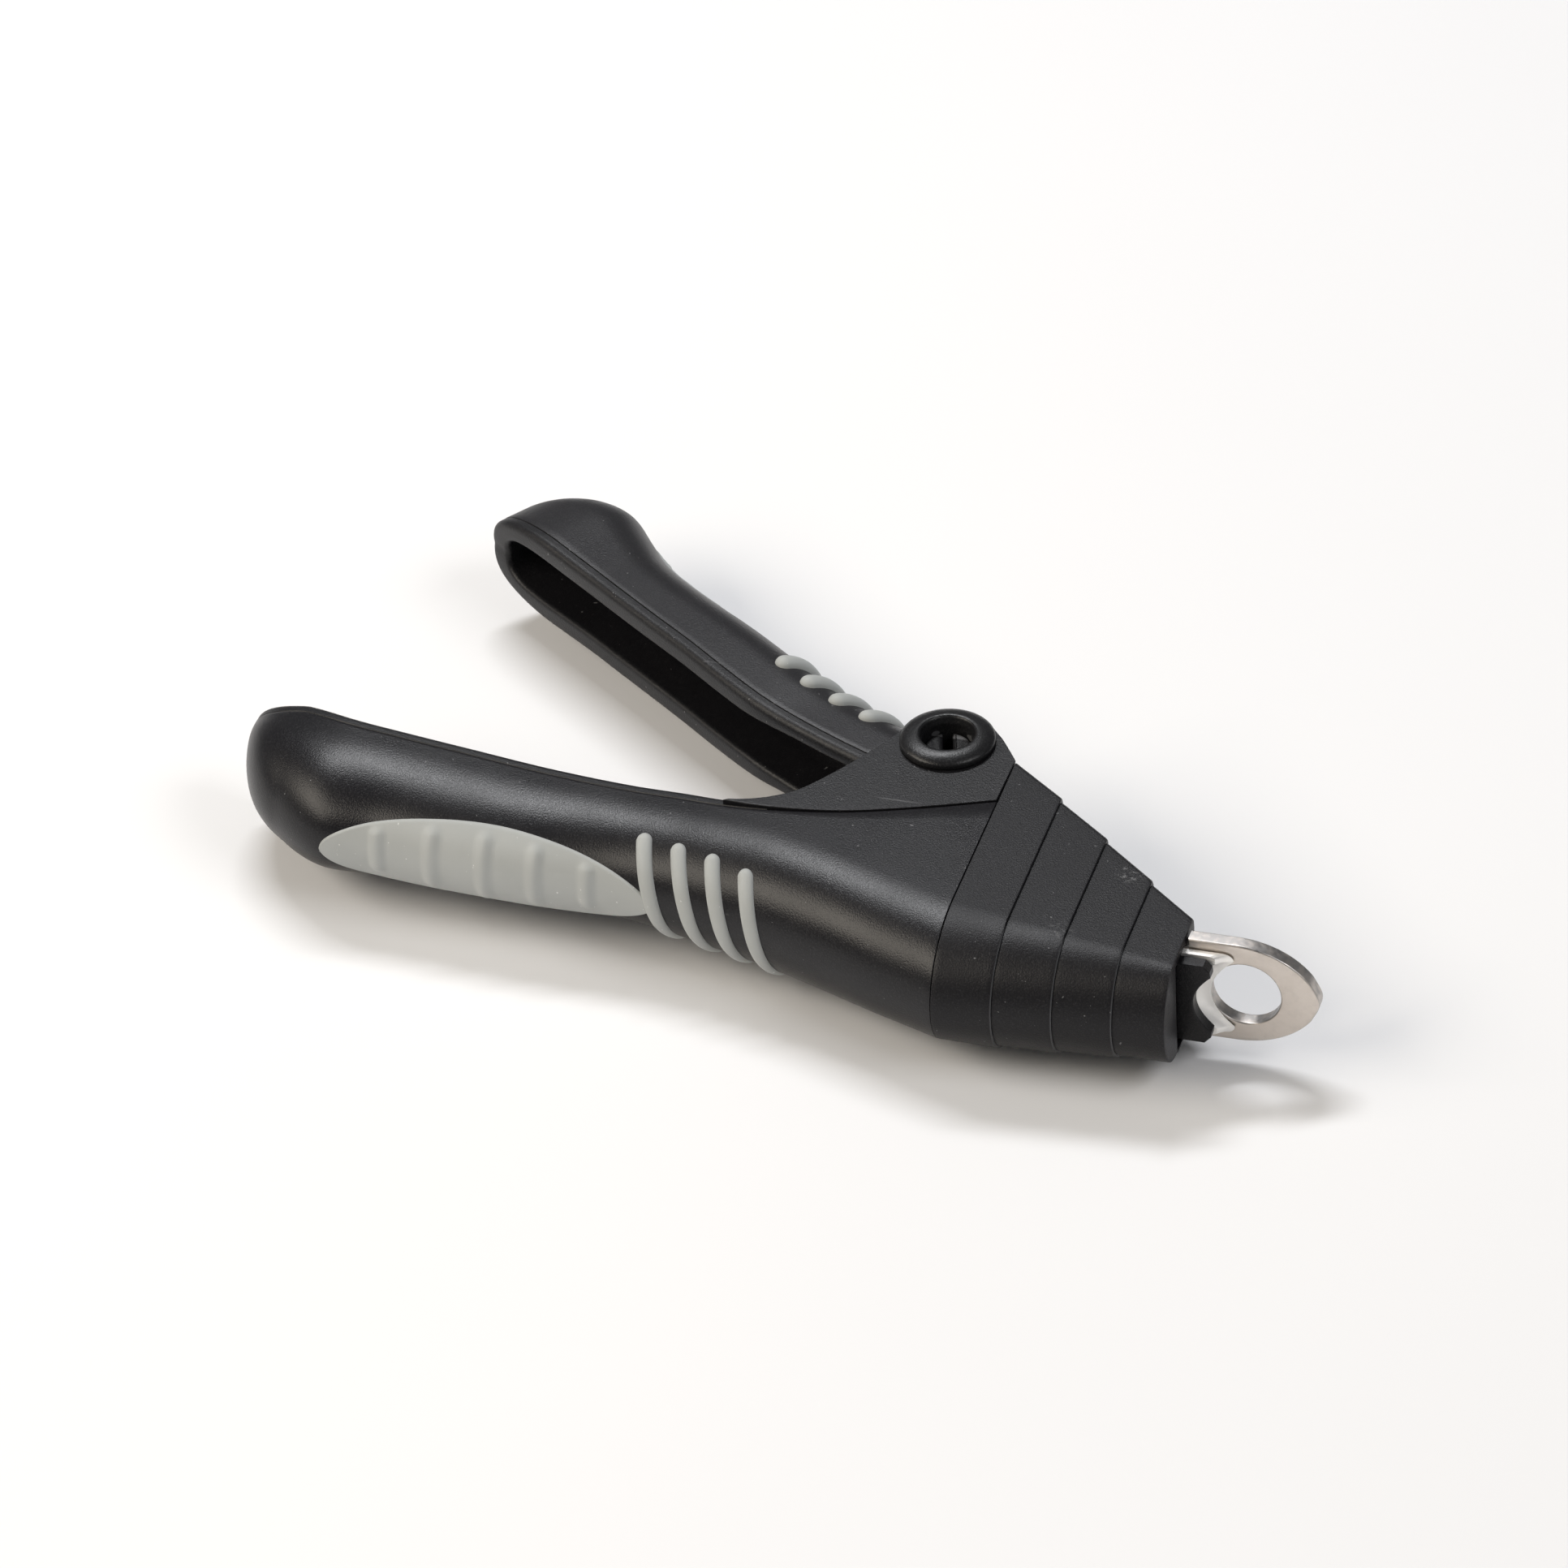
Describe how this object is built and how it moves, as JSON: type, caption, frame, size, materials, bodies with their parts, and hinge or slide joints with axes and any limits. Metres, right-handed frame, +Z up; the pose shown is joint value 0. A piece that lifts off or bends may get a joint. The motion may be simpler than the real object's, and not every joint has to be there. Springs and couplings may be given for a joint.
{
  "type": "pet nail trimmer",
  "caption": "Guillotine-type pet nail trimmer with a sprung squeeze lever, stepped nose, steel ring and sliding blade.",
  "frame": {"origin": "on the pivot axis, at the flat outer face of the lower pivot head, which is the lowest face of the tool lying on its side", "axes": "+Z up along the pivot axis, +X along the blade's stroke towards the ring, +Y in the handle plane from the fixed handle towards the lever"},
  "size_m": [0.1633, 0.1024, 0.024],
  "materials": {
    "black_shell": "satin, fine moulded grain",
    "black_core": "satin",
    "gloss_black": "smooth, glossier than the body",
    "grey_rubber": "matt soft-touch",
    "steel": "stamped and tumbled stainless",
    "blade_steel": "ground, bright at the bevel",
    "screw_steel": "plain",
    "spring_steel": "drawn wire"
  },
  "bodies": {
    "fixed_side": {"fixed_frame": "black_core", "fixed_shell": "black_shell", "nose_cap": "black_shell", "guide_block": "black_core", "cutting_ring": "steel", "ring_screw_1": "screw_steel", "ring_screw_2": "screw_steel", "pivot_barrel": "gloss_black", "pivot_pin": "gloss_black", "torsion_spring": "spring_steel", "fixed_grip_pad": "grey_rubber", "fixed_grip_ridge_1": "grey_rubber", "fixed_grip_ridge_2": "grey_rubber", "fixed_grip_ridge_3": "grey_rubber", "fixed_grip_ridge_4": "grey_rubber"},
    "lever": {"lever_frame": "black_core", "lever_shell": "black_shell", "drive_pin": "screw_steel", "lever_grip_pad": "grey_rubber", "lever_grip_ridge_1": "grey_rubber", "lever_grip_ridge_2": "grey_rubber", "lever_grip_ridge_3": "grey_rubber", "lever_grip_ridge_4": "grey_rubber"},
    "blade_slide": {"blade": "blade_steel", "blade_carrier": "black_core", "blade_screw_1": "screw_steel", "blade_screw_2": "screw_steel"}
  },
  "joints": [
    {"name": "lever_pivot", "type": "hinge", "parent": "fixed_side", "child": "lever", "pos_m": [0, 0, 0.012], "axis": [0, 0, 1], "range_deg": [0, 19], "stiffness_Nm_per_rad": 0.6, "springref_deg": -34.38, "deforming": ["torsion_spring"]},
    {"name": "blade_stroke", "type": "slide", "parent": "fixed_side", "child": "blade_slide", "axis": [1, 0, 0], "range_m": [0, 0.01183]}
  ],
  "couplings": [
    {"joint": "blade_stroke", "follows": "lever_pivot", "m_per_rad": 0.03567}
  ]
}
